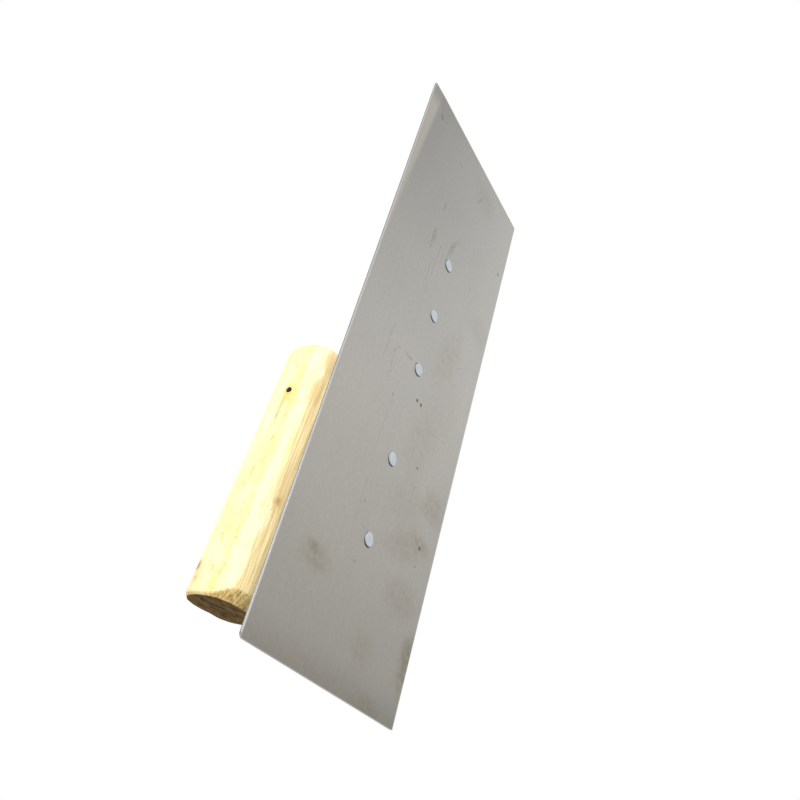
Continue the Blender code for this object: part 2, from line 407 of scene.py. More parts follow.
def neck_edge(start, end, steps=28):
    """An S curve that leaves and arrives upright."""
    points = []
    for step in range(steps + 1):
        share = step / steps
        eased = share * share * (3 - 2 * share)
        points.append((start[0] + (end[0] - start[0]) * eased, start[1] + (end[1] - start[1]) * share))
    return points


neck_rear_x = neck_front_x - NECK_WIDTH
neck_front = (neck_front_x, tang_top(neck_front_x) - TANG_TOP_TO_NECK)
neck_rear = (neck_rear_x, tang_top(neck_rear_x) - TANG_HEIGHT)
front_edge = neck_edge((foot_front_x, shank_low.z), neck_front)
rear_edge = neck_edge((foot_rear_x, shank_low.z), neck_rear)
tang = [
    (neck_front_x, tang_top(neck_front_x)),
    (shank_low.x, tang_top(shank_low.x)),
    (shank_low.x, tang_top(shank_low.x) - TANG_HEIGHT),
]
shank_outline = front_edge + tang + rear_edge[::-1]
print("shank outline:", len(shank_outline), "corners")

# %% Shank piece
SHANK_RIM_ROUND = 0.4 * MM
shank_maker = bmesh.new()
shank_corners = [shank_maker.verts.new((x, shank_low.y, z)) for x, z in shank_outline]
shank_face = shank_maker.faces.new(shank_corners)
pushed = bmesh.ops.extrude_face_region(shank_maker, geom=[shank_face])["geom"]
pushed_verts = [item for item in pushed if isinstance(item, bmesh.types.BMVert)]
bmesh.ops.translate(shank_maker, vec=(0, shank_high.y - shank_low.y, 0), verts=pushed_verts)
bevel(shank_maker, edges_level_in(shank_maker, 1), SHANK_RIM_ROUND, 3)

pin_low, pin_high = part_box("tang_pin")
pin_centre = (pin_low + pin_high) / 2
pin_radius = (pin_high.x - pin_low.x) / 2


def cross_rod(radius, half_length, steps=40):
    """A rod along Y, on the axis of the pin."""
    maker = bmesh.new()
    bmesh.ops.create_cone(
        maker, cap_ends=True, cap_tris=False, segments=steps,
        radius1=radius, radius2=radius, depth=2 * half_length,
        matrix=Matrix.Translation(pin_centre) @ Matrix.Rotation(math.pi / 2, 4, "X"),
    )
    return maker


shank = to_object(shank_maker, "shank_plate")
cut(shank, cross_rod(pin_radius + HOLE_GAP, 10 * MM))
finish_piece(shank, "shank", flat_axis=1)

# %% [markdown]
# ## The weld beads
#
# A hand-laid fillet weld looks like a row of overlapping ripples, pushed into the corner between
# the plate and the bar. A rod with many rings makes it: every ring swells and shrinks in turn, the
# ends taper, and what would enter the plate or the bar is pressed flat against it.

# %% Weld beads
WELD_RINGS = 60
WELD_RIPPLES = 11
RIPPLE_DEPTH = 0.07
BEAD_SIZE = 0.93
LEG_SHARE = 0.9


def weld_bead(node, side):
    """A rippled bead in the corner between plate and bar: side is -1 on the left and 1 on the right."""
    low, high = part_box(node)
    leg = high.z - low.z
    wall_y = min(abs(low.y), abs(high.y))
    length = high.x - low.x
    maker = bmesh.new()
    bmesh.ops.create_cone(
        maker, cap_ends=True, cap_tris=False, segments=40, radius1=leg, radius2=leg, depth=length,
        matrix=Matrix.Translation((low.x + length / 2, 0, 0)) @ Matrix.Rotation(math.pi / 2, 4, "Y"),
    )
    for number in range(1, WELD_RINGS):
        x = low.x + length * number / WELD_RINGS
        slice_at(maker, Vector((x, 0, 0)), Vector((1, 0, 0)))
    for vert in maker.verts:
        share = (vert.co.x - low.x) / length
        ripple = abs(math.sin(math.pi * WELD_RIPPLES * share))
        taper = min(1.0, 0.55 + 6 * min(share, 1 - share))
        bead = taper * (BEAD_SIZE - RIPPLE_DEPTH + RIPPLE_DEPTH * ripple)
        y = max(0.0, side * vert.co.y * bead)
        z = max(0.0, vert.co.z * bead)
        vert.co.y = side * (wall_y + y * LEG_SHARE)
        vert.co.z = low.z + z * LEG_SHARE
    bmesh.ops.remove_doubles(maker, verts=maker.verts, dist=MERGE_DISTANCE)
    bmesh.ops.dissolve_degenerate(maker, edges=maker.edges, dist=MERGE_DISTANCE)
    return finish_piece(to_object(maker, node + "_bead"), node, 60)


welds = [weld_bead("weld_left", -1), weld_bead("weld_right", 1)]

# %% [markdown]
# ## The handle
#
# The grip is a stick of pale wood: a rounded rectangle in section, slightly thinner at the toe, and
# sloping down towards it. Its corners were planed in flats and then rubbed soft. The heel end was
# sawn off and its rim rasped by hand, deep on the underside and hardly at all on the left, so the
# cut wanders. It starts as a block whose long edges are bevelled twice, once for the flats and once
# to soften them. Loops across it let the ends, the taper and the small unevenness be shaped.

# %% Handle block
HANDLE_WIDTH = handle_high.y - handle_low.y
HANDLE_HEIGHT = 29.3 * MM
HANDLE_CORNER = 12.66 * MM
FACETS_PER_CORNER = 3
FACET_SOFTENING = 1.5 * MM
TOE_SCALE = 0.98
HEEL_AXIS_LIFT = 0.2 * MM
handle_middle_x = (handle_low.x + handle_high.x) / 2
heel_axis_z = handle_high.z - HANDLE_HEIGHT / 2 + HEEL_AXIS_LIFT
HANDLE_LOOPS = 90

handle_maker = block(
    Vector((handle_low.x, -HANDLE_WIDTH / 2, -HANDLE_HEIGHT / 2)),
    Vector((handle_high.x, HANDLE_WIDTH / 2, HANDLE_HEIGHT / 2)),
)
bevel(handle_maker, edges_along(handle_maker, 0), HANDLE_CORNER, FACETS_PER_CORNER)
bevel(handle_maker, edges_along(handle_maker, 0), FACET_SOFTENING, 4)
print("handle block:", len(handle_maker.faces), "faces")

# %% Handle loops
for offset in (-3.2, -1.6, 0.0, 1.6, 3.2):
    slice_at(handle_maker, Vector((0, offset * MM, 0)), Vector((0, 1, 0)))
for offset in (-1.0, 1.0):
    slice_at(handle_maker, Vector((0, 0, offset * MM)), Vector((0, 0, 1)))
for offset in (0.5, 1.0, 1.7, 2.5, 3.3, 4.5):
    slice_at(handle_maker, Vector((handle_low.x + offset * MM, 0, 0)), Vector((1, 0, 0)))
    slice_at(handle_maker, Vector((handle_high.x - offset * MM, 0, 0)), Vector((1, 0, 0)))
for number in range(4, HANDLE_LOOPS - 3):
    x = handle_low.x + handle_length * number / HANDLE_LOOPS
    slice_at(handle_maker, Vector((x, 0, 0)), Vector((1, 0, 0)))
print("handle with its loops:", len(handle_maker.faces), "faces")

# %% Helpers: the rasped chamfer
TOE_ROUND_LENGTH = 4.5 * MM
TOE_ROUND_INSET = 3.0 * MM
SHORTEST_CHAMFER = 0.9 * MM
SHALLOWEST_CHAMFER = 0.4 * MM
CHAMFER_CURVE = 1.35


def chamfer_at(angle):
    """The rasped chamfer's length and depth at an angle round the handle, counted from the right."""
    from_left = min(1.0, max(0.0, (angle + math.pi - 0.30) / 0.75)) if angle < 0 else 0.0
    under = from_left * from_left * (3 - 2 * from_left) * max(0.0, -math.sin(angle)) ** 0.3
    over = max(0.0, math.sin(angle)) ** 2
    wander = noise.noise(Vector((math.cos(angle) * 2.3, math.sin(angle) * 2.3, 4.0)))
    nicks = noise.noise(Vector((math.cos(angle) * 7.0, math.sin(angle) * 7.0, 9.0)))
    dent = math.exp(-((angle - 1.20) / 0.26) ** 2)
    length = (1.0 + 5.2 * under + 1.4 * over + 2.5 * dent + 0.4 * wander + 1.0 * under * nicks) * MM
    depth = (0.8 + 1.3 * under + 0.6 * over + 1.5 * dent + 0.2 * wander) * MM
    return max(SHORTEST_CHAMFER, length), max(SHALLOWEST_CHAMFER, depth)


def pull_in(vert, depth):
    """Moves a point of the section towards the middle by a depth."""
    reach = math.hypot(vert.co.y, vert.co.z)
    if reach > NO_DISTANCE:
        shrink = 1 - depth / max(reach, HANDLE_HEIGHT / 2)
        vert.co.y *= shrink
        vert.co.z *= shrink


for name, angle in (("underside", -math.pi / 2), ("top", math.pi / 2), ("left side", -math.pi)):
    print(f"chamfer of the {name}: {chamfer_at(angle)[0] / MM:.1f} mm long")

# %% Handle ends, taper, slope and unevenness
for vert in handle_maker.verts:
    angle = math.atan2(vert.co.z / HANDLE_HEIGHT, vert.co.y / HANDLE_WIDTH)
    from_heel = vert.co.x - handle_low.x
    from_toe = handle_high.x - vert.co.x
    length, depth = chamfer_at(angle)
    if from_heel < length:
        pull_in(vert, depth * (1 - from_heel / length) ** CHAMFER_CURVE)
    if from_toe < TOE_ROUND_LENGTH:
        share = 1 - from_toe / TOE_ROUND_LENGTH
        pull_in(vert, TOE_ROUND_INSET * (1 - math.sqrt(max(0.0, 1 - share * share))))
    rough = noise.noise(Vector((vert.co.x * 55, math.cos(angle) * 1.7, math.sin(angle) * 1.7)))
    grain = noise.noise(Vector((vert.co.x * 60, math.cos(angle) * 16, math.sin(angle) * 16)))
    pull_in(vert, (0.16 + 0.20 * rough + 0.06 * grain) * MM)
for vert in handle_maker.verts:
    share = (vert.co.x - handle_low.x) / handle_length
    size = 1 + (TOE_SCALE - 1) * share
    vert.co.y *= size
    vert.co.z = vert.co.z * size + heel_axis_z + handle_slope * (vert.co.x - handle_low.x)
print("handle rises", round(handle_slope * -handle_length / MM, 1), "mm from toe to heel")

# %% Handle saw cut and pin hole
KERF_GAP = 0.25 * MM
PIN_HOLE_GAP = 0.2 * MM
kerf_rear_x = shank_low.x - KERF_GAP
kerf_half_width = (shank_high.y - shank_low.y) / 2 + KERF_GAP
handle = to_object(handle_maker, "handle_grip")
kerf_maker = block(
    Vector((kerf_rear_x, -kerf_half_width, handle_low.z - 5 * MM)),
    Vector((handle_high.x + 2 * MM, kerf_half_width, handle_high.z)),
)
for vert in kerf_maker.verts:
    if vert.co.z > handle_low.z:
        vert.co.z = tang_top(vert.co.x) + KERF_GAP
cut(handle, kerf_maker)
cut(handle, cross_rod(pin_radius + PIN_HOLE_GAP, 25 * MM))
finish_piece(handle, "handle", 32)

# %% [markdown]
# ## The pin
#
# A plain nail goes through the side of the handle and through the tang. Its ends are a little
# under the surface of the wood, dished by the punch that sank them, so each end face is inset.

# %% Pin
pin_maker = cross_rod(pin_radius, (pin_high.y - pin_low.y) / 2)
pin_ends = [face for face in pin_maker.faces if abs(face.normal.y) > 0.9]
bmesh.ops.inset_region(pin_maker, faces=pin_ends, thickness=pin_radius * 0.35, depth=0.18 * MM)
pin = to_object(pin_maker, "tang_pin_nail")
finish_piece(pin, "tang_pin")

# %% [markdown]
# ## Helpers for making materials
#
# A material is a small program of nodes. The helpers below add a node, fill its inputs with a value
# or a link, and hand back its output, so each finish reads from top to bottom. Patterns read Object
# coordinates, in metres, because every piece lies at the origin in its true place.

# %% Helpers: nodes
class Finish:
    """One material, with short names for the nodes that the finishes use."""

    def __init__(self, name):
        self.material = bpy.data.materials.new(name)
        self.material.use_nodes = True
        self.tree = self.material.node_tree
        self.shader = self.tree.nodes["Principled BSDF"]
        self.place = self.add("ShaderNodeTexCoord").outputs["Object"]

    def add(self, kind, **settings):
        node = self.tree.nodes.new(kind)
        for key, value in settings.items():
            setattr(node, key, value)
        return node

    def feed(self, socket, source):
        if isinstance(source, bpy.types.NodeSocket):
            self.tree.links.new(source, socket)
        else:
            socket.default_value = source

    def fill(self, node, **sources):
        """Fills a node's inputs by their names, with _ where a name has a space."""
        for name, source in sources.items():
            self.feed(node.inputs[name.replace("_", " ")], source)

    def mapped(self, source, move=(0, 0, 0), turn=(0, 0, 0), scale=(1, 1, 1)):
        node = self.add("ShaderNodeMapping")
        self.fill(node, Vector=source, Location=move, Rotation=turn, Scale=scale)
        return node.outputs["Vector"]

    def cloud(self, source, scale, detail=4.0, roughness=0.55, distortion=0.0):
        node = self.add("ShaderNodeTexNoise")
        self.fill(node, Vector=source, Scale=scale, Detail=detail)
        self.fill(node, Roughness=roughness, Distortion=distortion)
        return node.outputs["Fac"]

    def ramp(self, source, *stops):
        """Colours or greys at places from 0 to 1, blended between them."""
        node = self.add("ShaderNodeValToRGB")
        self.feed(node.inputs["Fac"], source)
        points = node.color_ramp.elements
        while len(points) < len(stops):
            points.new(1.0)
        for point, (position, colour) in zip(points, stops):
            point.position = position
            shade = colour if isinstance(colour, tuple) else (colour, colour, colour)
            point.color = (*shade, 1.0)
        return node.outputs["Color"]

    def span(self, source, low, high, start=0.0, end=1.0):
        """A number that goes from start to end while the source goes from low to high."""
        node = self.add("ShaderNodeMapRange", interpolation_type="SMOOTHSTEP")
        self.fill(node, Value=source, From_Min=low, From_Max=high, To_Min=start, To_Max=end)
        return node.outputs["Result"]

    def sums(self, operation, first, second=0.0, third=0.0):
        node = self.add("ShaderNodeMath", operation=operation)
        for socket, source in zip(node.inputs, (first, second, third)):
            self.feed(socket, source)
        return node.outputs["Value"]

    def blend(self, share, first, second, mode="MIX"):
        node = self.add("ShaderNodeMix", data_type="RGBA", blend_type=mode)
        self.feed(node.inputs[0], share)
        for socket, source in zip(node.inputs[6:8], (first, second)):
            self.feed(socket, (*source, 1.0) if isinstance(source, tuple) else source)
        return node.outputs[2]

    def axes(self, source):
        node = self.add("ShaderNodeSeparateXYZ")
        self.feed(node.inputs[0], source)
        return node.outputs

    def distance(self, source, point):
        node = self.add("ShaderNodeVectorMath", operation="DISTANCE")
        self.feed(node.inputs[0], source)
        node.inputs[1].default_value = point
        return node.outputs["Value"]

    def patch(self, centre, halves, turn, edge, ragged, depth, strength=1.0):
        """The strength inside an oval patch and 0 outside it, with a soft and ragged edge."""
        node = self.add("ShaderNodeMapping", vector_type="TEXTURE")
        middle = [MM * part for part in centre]
        reaches = [MM * part for part in halves]
        self.fill(node, Vector=self.place, Location=middle, Rotation=turn, Scale=reaches)
        away = self.distance(node.outputs["Vector"], (0, 0, 0))
        reach = self.sums("MULTIPLY_ADD", ragged, depth, self.sums("SUBTRACT", away, depth / 2))
        return self.span(reach, 1.0 + edge, 1.0 - edge, 0.0, strength)

    def bump(self, height, strength, depth, below=None):
        node = self.add("ShaderNodeBump")
        self.fill(node, Height=height, Strength=strength, Distance=depth)
        if below is not None:
            self.fill(node, Normal=below)
        return node.outputs["Normal"]

    def set(self, **sources):
        self.fill(self.shader, **sources)

    def count(self, stage):
        print(f"{stage}: {len(self.tree.nodes)} nodes")

    def put_on(self, *things):
        for thing in things:
            thing.data.materials.clear()
            thing.data.materials.append(self.material)


# %% [markdown]
# ## Blade steel
#
# The working face is ground steel that has been wiped clean many times. It is a warm mid grey, with
# painted shading that makes it darker at the heel and at the left of the toe, and faint lines from the
# grinding belt. Olive-brown stains lie on it, most of them on the right half near the heel, and short
# dark marks run along its length. A stain could be painted, but an oval patch with a ragged border
# needs only a line in a table: its place in millimetres from the left corner of the heel, its two half
# sizes, its turn in degrees and its strength. The ground lip is lighter, the right and toe rims are
# worn bright, and the back keeps the plain finish. The left side face has a painted highlight at its
# front and painted shade along its back rim, and the heel face is painted bright as a highlight.

# %% Blade steel: painted shading, cloud and belt lines
steel = Finish("Blade steel")
steel_x, steel_y, steel_z = steel.axes(steel.place)
along = steel.sums("DIVIDE", steel.sums("SUBTRACT", steel_x, blade_low.x), blade_length)
across = steel.sums("DIVIDE", steel.sums("SUBTRACT", steel_y, blade_low.y), blade_high.y - blade_low.y)
# Painted shading: the grey of the working face is darker at the heel and at the left of the toe, and
# lighter in the middle and towards the right of the toe.
left_painted_shading = steel.ramp(
    along, (0.0, 0.375), (0.05, 0.44), (0.20, 0.515), (0.38, 0.565),
    (0.5, 0.55), (0.65, 0.49), (0.85, 0.395), (1.0, 0.365),
)
right_painted_shading = steel.ramp(
    along, (0.0, 0.345), (0.05, 0.43), (0.20, 0.49), (0.38, 0.545),
    (0.5, 0.59), (0.65, 0.61), (0.85, 0.60), (1.0, 0.58),
)
painted_shading = steel.blend(across, left_painted_shading, right_painted_shading)
warmth = steel.ramp(
    along, (0.0, (1.05, 1.0, 0.90)), (0.5, (1.03, 1.0, 0.93)), (1.0, (1.02, 1.0, 0.945))
)
toned = steel.blend(1.0, painted_shading, warmth, "MULTIPLY")
patches = steel.cloud(steel.place, 26.0, detail=4.0)
cloudy = steel.blend(0.32, toned, steel.ramp(patches, (0.3, 0.86), (0.7, 1.12)), "MULTIPLY")
speckle = steel.cloud(steel.place, 520.0, detail=4.0)
speckled = steel.blend(0.30, cloudy, steel.ramp(speckle, (0.3, 0.88), (0.7, 1.10)), "MULTIPLY")
belt = steel.cloud(steel.mapped(steel.place, scale=(9, 420, 1)), 1.0, detail=3.0)
belted = steel.blend(0.18, speckled, steel.ramp(belt, (0.35, 0.95), (0.65, 1.05)), "MULTIPLY")
steel.count("plain blade steel")

# %% Tables of the blade's stains, marks and dots
STAINS = (
    (38.5, 22.5, 5.0, 8, 0, 0.36), (41.5, 19.5, 2.2, 4, 20, 0.5), (48, 82, 7, 12, 0, 0.29),
    (69, 76, 6, 15, -18, 0.31), (74, 87, 3, 7, 0, 0.36), (94, 90, 7, 9, 0, 0.40),
    (25, 99, 11, 6, 0, 0.75), (30, 97, 5, 5, 0, 0.5), (2, 78, 4, 9, 0, 0.38),
    (1, 50, 6, 54, 0, 0.20), (115, 66, 17, 10, 10, 0.20), (163, 70, 18, 7, 18, 0.21),
    (20, 64, 6, 7, 0, 0.24), (196, 92, 8, 8, 0, 0.16), (265, 66, 8, 10, 0, 0.20),
    (140, 78, 14, 10, 0, 0.12), (276, 12, 6, 9, 0, 0.18), (84, 70, 10, 14, 0, 0.16),
)
MARKS = (
    (206, 32, 5, 0.6, -3, 0.75), (209, 33.3, 3.5, 0.5, -8, 0.65), (213, 47.6, 6.5, 0.45, 12, 0.8),
    (216, 49.8, 5, 0.45, 14, 0.7), (223, 52.5, 3, 0.4, 12, 0.4), (229, 34, 3, 0.6, 5, 0.45),
    (190, 36, 8, 0.4, 3, 0.3), (200, 39.5, 13, 0.4, 3, 0.3), (205, 43, 8, 0.4, 3, 0.25),
    (140, 24.5, 8, 0.5, 3, 0.3), (133, 30.5, 8, 0.5, -5, 0.3), (140, 31.5, 4, 0.4, 35, 0.3),
    (142.7, 40.5, 0.6, 2.8, 0, 0.6), (143.4, 52.6, 1.0, 0.4, 0, 0.4), (94.5, 71.5, 1.6, 0.5, 50, 0.35),
    (68, 37.8, 16, 0.35, 0, 0.2), (110, 37.5, 18, 0.35, 2, 0.2), (62, 45, 0.4, 2.2, 10, 0.3),
    (261, 60.5, 4.5, 0.7, 30, 0.45), (262, 36, 0.5, 2.6, 0, 0.25), (166, 81, 4, 0.35, 50, 0.25),
)
DOTS = (
    (129.4, 55.4, 0.8, 0.8), (129.4, 59, 0.8, 0.8), (102.8, 69, 0.6, 0.6), (73, 86.4, 0.9, 0.65),
    (64.5, 86.5, 0.5, 0.5), (239.7, 94.5, 0.9, 0.5), (268, 11.5, 1.4, 0.3), (210, 72, 0.6, 0.3),
    (155, 80, 0.5, 0.3), (47.5, 45, 0.5, 0.35), (71, 40.5, 0.5, 0.35), (120.5, 37.8, 0.6, 0.35),
)
print("blade:", len(STAINS), "stains,", len(MARKS), "marks and", len(DOTS), "dots")

# %% Blade stains and marks
STAIN_COLOUR = (0.27, 0.225, 0.14)
MARK_COLOUR = (0.15, 0.11, 0.07)
DOT_COLOUR = (0.09, 0.07, 0.05)
THROUGH_THE_SHEET = 1000


def on_blade(x, y, half_x, half_y, turn, edge, ragged, depth, strength):
    """A patch on the working face, at a place measured from the left corner of the heel."""
    centre = (blade_low.x / MM + x, blade_low.y / MM + y, 0)
    turned_by = (0, 0, math.radians(turn))
    halves = (half_x, half_y, THROUGH_THE_SHEET)
    return steel.patch(centre, halves, turned_by, edge, ragged, depth, strength)


wobble = steel.cloud(steel.place, 150.0, detail=8.0, roughness=0.68)
crumble = steel.cloud(steel.mapped(steel.place, scale=(1, 2.5, 1)), 800.0, detail=3.0)
blotches = steel.ramp(steel.cloud(steel.place, 380.0, detail=5.0), (0.38, 0.40), (0.62, 1.05))
uneven = steel.sums("MULTIPLY", steel.ramp(wobble, (0.34, 0.45), (0.62, 1.0)), blotches)
gaps = steel.cloud(steel.mapped(steel.place, scale=(1, 1.6, 1)), 900.0)
broken = steel.ramp(gaps, (0.46, 0.05), (0.58, 1.0))
shown = belted
for x, y, half_x, half_y, turn, strength in STAINS:
    spot = on_blade(x, y, half_x, half_y, turn, 0.6, wobble, 2.6, strength)
    shown = steel.blend(steel.sums("MULTIPLY", spot, uneven), shown, STAIN_COLOUR)
for x, y, half_x, half_y, turn, strength in MARKS:
    spot = on_blade(x, y, half_x, half_y, turn, 0.6, crumble, 2.8, strength)
    shown = steel.blend(steel.sums("MULTIPLY", spot, broken), shown, MARK_COLOUR)
for x, y, radius, strength in DOTS:
    spot = on_blade(x, y, radius, radius, 0, 0.4, crumble, 0.8, strength)
    shown = steel.blend(spot, shown, DOT_COLOUR)
steel.count("marked blade steel")

# %% Blade lip, back, edges and shader
EDGE_WEAR = 0.55
WEAR_WIDTH = 0.9 * MM
on_face = steel.span(steel_z, 0.45 * blade_thickness, 0.30 * blade_thickness)
lip_along = steel.sums("MULTIPLY", steel.sums("SUBTRACT", steel_x, LIP_START.x), lip_outward.x)
lip_across = steel.sums("MULTIPLY", steel.sums("SUBTRACT", steel_y, LIP_START.y), lip_outward.y)
lip_depth = steel.sums("ADD", lip_along, lip_across)
lip_reach = steel.span(along, 0.99, 0.95, 0.15, 0.6)
lip_share = steel.sums("MULTIPLY", steel.span(lip_depth, -1.6 * MM, 1.8 * MM), lip_reach)
ground = steel.blend(lip_share, shown, (0.66, 0.62, 0.54))
right_wear = steel.span(steel_y, blade_high.y - WEAR_WIDTH, blade_high.y, 0.0, EDGE_WEAR)
toe_wear = steel.span(steel_x, blade_high.x - WEAR_WIDTH, blade_high.x, 0.0, EDGE_WEAR)
lipped = steel.blend(steel.sums("MAXIMUM", right_wear, toe_wear), ground, (0.97, 0.96, 0.93))
backed = steel.blend(on_face, belted, lipped)
# Painted light on the rims: the left side face is painted lighter at its front (painted highlight) and
# dark along its back rim (painted shade), and the heel face is painted bright (painted highlight).
face_axes = steel.axes(steel.add("ShaderNodeNewGeometry").outputs["Normal"])
facing_left = steel.sums("MULTIPLY", face_axes[1], -1.0)
on_side = steel.span(facing_left, 0.35, 0.65)
painted_side_light_and_shade = steel.span(steel_z, blade_thickness * 0.62, blade_thickness * 0.74, 0.70, 0.15)
with_painted_side = steel.blend(on_side, backed, steel.ramp(painted_side_light_and_shade, (0.0, 0.0), (1.0, (1.0, 0.98, 0.94))))
facing_heel = steel.sums("MULTIPLY", face_axes[0], -1.0)
with_painted_edge_light = steel.blend(steel.span(facing_heel, 0.35, 0.65), with_painted_side, (0.98, 0.97, 0.94))
gloss = steel.ramp(patches, (0.3, 0.40), (0.7, 0.47))
face_bump = steel.bump(belt, 0.06, 0.03 * MM)
steel.set(Base_Color=with_painted_edge_light, Metallic=1.0, Roughness=gloss, Normal=face_bump)
steel.put_on(blade)
steel.count("blade steel")

# %% [markdown]
# ## Bar, shank and weld steel
#
# These are hidden behind the blade in normal use and were left as they came from the mill and the
# welder: mottled dark grey scale with spots of rust. One recipe with four sets of numbers gives
# the bar, the shank, the welds and the nail their own shades.

# %% Bar and shank steel
def mill_steel(name, dark, light, rust_share, roughness):
    """Scaled steel between two greys, with some share of rust."""
    finish = Finish(name)
    mottle = finish.cloud(finish.place, 160.0, detail=6.0)
    base = finish.ramp(mottle, (0.32, (dark, dark, dark * 1.04)), (0.68, (light, light, light * 0.98)))
    rust = finish.cloud(finish.mapped(finish.place, move=(1, 4, 2)), 90.0, detail=7.0, roughness=0.7)
    rust_spots = finish.ramp(rust, (0.56, 0.0), (0.70, rust_share))
    finish.set(
        Base_Color=finish.blend(rust_spots, base, (0.20, 0.085, 0.035)),
        Metallic=finish.ramp(rust_spots, (0.0, 1.0), (0.8, 0.35)),
        Roughness=finish.ramp(mottle, (0.3, roughness - 0.08), (0.7, roughness + 0.08)),
        Normal=finish.bump(finish.cloud(finish.place, 900.0, detail=5.0), 0.35, 0.05 * MM),
    )
    finish.count(name)
    return finish


mill_steel("Bar steel", 0.22, 0.38, 0.5, 0.42).put_on(spine)
mill_steel("Shank steel", 0.17, 0.32, 0.45, 0.46).put_on(shank)
mill_steel("Weld steel", 0.13, 0.30, 0.7, 0.40).put_on(*welds)
mill_steel("Pin steel", 0.035, 0.09, 0.5, 0.70).put_on(pin)

# %% [markdown]
# ## Rivet metal
#
# The rivets are a light alloy, brighter and bluer than the blade. Wear polished each face, fine
# scratches run over it, and a dark crescent of painted shade lies on the heel side of its rim. The
# flat map puts that painted shade at the same place on all five.

# %% Rivet metal
alloy = Finish("Rivet alloy")
face_map = alloy.add("ShaderNodeUVMap", uv_map="face_map").outputs["UV"]
worn = alloy.cloud(alloy.place, 700.0, detail=5.0)
alloy_base = alloy.ramp(worn, (0.3, (0.595, 0.655, 0.705)), (0.7, (0.765, 0.835, 0.885)))
# Painted shade: a dark crescent on the heel side of each rivet's rim, placed by the flat map.
painted_shade_edge = alloy.sums("MULTIPLY_ADD", worn, 0.10, alloy.distance(face_map, (0.20, 0.04, 0)))
painted_shade_crescent = alloy.span(painted_shade_edge, 1.02, 1.16, 0.0, 0.9)
rubbed = alloy.cloud(alloy.mapped(alloy.place, turn=(0, 0, 0.5), scale=(60, 1800, 1)), 1.0, detail=2.0)
alloy.set(
    Base_Color=alloy.blend(painted_shade_crescent, alloy_base, (0.16, 0.16, 0.17)),
    Metallic=1.0,
    Roughness=alloy.ramp(worn, (0.3, 0.34), (0.7, 0.48)),
    Normal=alloy.bump(rubbed, 0.3, 0.02 * MM),
)
alloy.put_on(*rivets)
alloy.count("rivet alloy")

# %% [markdown]
# ## Handle wood
#
# The wood is a pale hardwood with long straight grain. Its sides are cream with short olive flecks,
# with a painted highlight along the lower corner, and turn tan with fine brown streaks underneath.
# The rasped chamfer shows golden torn fibres, the sawn end is dark with red-brown cracks, and the iron
# nail has bled a rust halo along the grain. Grain is a noise stretched along the stick: the patterns
# are read from coordinates centred on the grip and turned to its slope, then scaled far more across
# than along.

# %% Wood: grain
wood = Finish("Pale wood")
grip_centre = Vector((handle_middle_x, 0, heel_axis_z + handle_slope * handle_length / 2))
slope_angle = math.atan(handle_slope)
axis_turn = (0, slope_angle, 0)
stick = wood.mapped(wood.mapped(wood.place, move=-grip_centre), turn=axis_turn)
stick_x, stick_y, stick_z = wood.axes(stick)
wander = wood.cloud(wood.mapped(stick, scale=(9, 60, 60)), 1.0, detail=3.0)
fine_grain = wood.cloud(wood.mapped(stick, scale=(18, 1500, 1500)), 1.0, detail=4.0, roughness=0.6)
broad_grain = wood.cloud(wood.mapped(stick, scale=(7, 260, 260)), 1.0, detail=3.0, distortion=0.3)
pore_lines = wood.cloud(wood.mapped(stick, scale=(55, 2600, 2600)), 1.0, detail=2.0)
pores = wood.ramp(pore_lines, (0.60, 0.0), (0.70, 1.0))
wood.count("wood grain")

# %% Wood: cream sides and their flecks
cream = wood.ramp(
    broad_grain, (0.30, (0.80, 0.68, 0.31)), (0.55, (0.87, 0.77, 0.42)), (0.8, (0.91, 0.83, 0.52))
)
grain_tint = wood.ramp(fine_grain, (0.32, (0.84, 0.74, 0.58)), (0.62, (1.05, 1.04, 1.03)))
grained = wood.blend(0.5, cream, grain_tint, "MULTIPLY")
drift = wood.cloud(wood.mapped(stick, scale=(60, 150, 150)), 1.0, detail=5.0, roughness=0.65)
drift_tint = wood.ramp(drift, (0.34, (0.86, 0.82, 0.66)), (0.62, (1.06, 1.08, 1.22)))
drifted = wood.blend(0.7, grained, drift_tint, "MULTIPLY")
fleck_place = wood.mapped(stick, turn=(0, 0.35, 0), scale=(260, 900, 900))
flecks = wood.cloud(fleck_place, 1.0, detail=3.0, roughness=0.65)
fleck_share = wood.ramp(flecks, (0.54, 0.0), (0.65, 0.85))
OLIVE_FLECK = (0.50, 0.44, 0.20)
flecked = wood.blend(fleck_share, drifted, OLIVE_FLECK)
wood.count("cream wood")

# %% Wood: painted highlight and tan underside
scallops = wood.cloud(wood.mapped(stick, scale=(34, 150, 150)), 1.0, detail=5.0, roughness=0.65)
depth_below = wood.sums("MULTIPLY_ADD", wood.sums("SUBTRACT", scallops, 0.5), 15 * MM, stick_z)
# Painted highlight: a pale band along the lower corner of the grip, between its side and its underside.
painted_highlight_share = wood.sums("MULTIPLY", wood.span(depth_below, -6.0 * MM, -9.4 * MM), 0.45)
PAINTED_HIGHLIGHT = (0.97, 0.93, 0.64)
with_painted_highlight = wood.blend(painted_highlight_share, flecked, PAINTED_HIGHLIGHT)
under = wood.span(depth_below, -11.0 * MM, -12.2 * MM)
UNDER_TAN = (0.96, 0.80, 0.44)
under_tan = wood.blend(wood.sums("MULTIPLY", under, 0.85), with_painted_highlight, UNDER_TAN)
streak_noise = wood.cloud(wood.mapped(stick, scale=(36, 1500, 1500)), 1.0, detail=4.0, roughness=0.7)
streaks = wood.ramp(streak_noise, (0.44, 0.0), (0.60, 1.0))
under_streaks = wood.sums("MULTIPLY", under, wood.sums("MULTIPLY", streaks, 0.8))
STREAK_BROWN = (0.62, 0.43, 0.17)
streaked = wood.blend(under_streaks, under_tan, STREAK_BROWN)
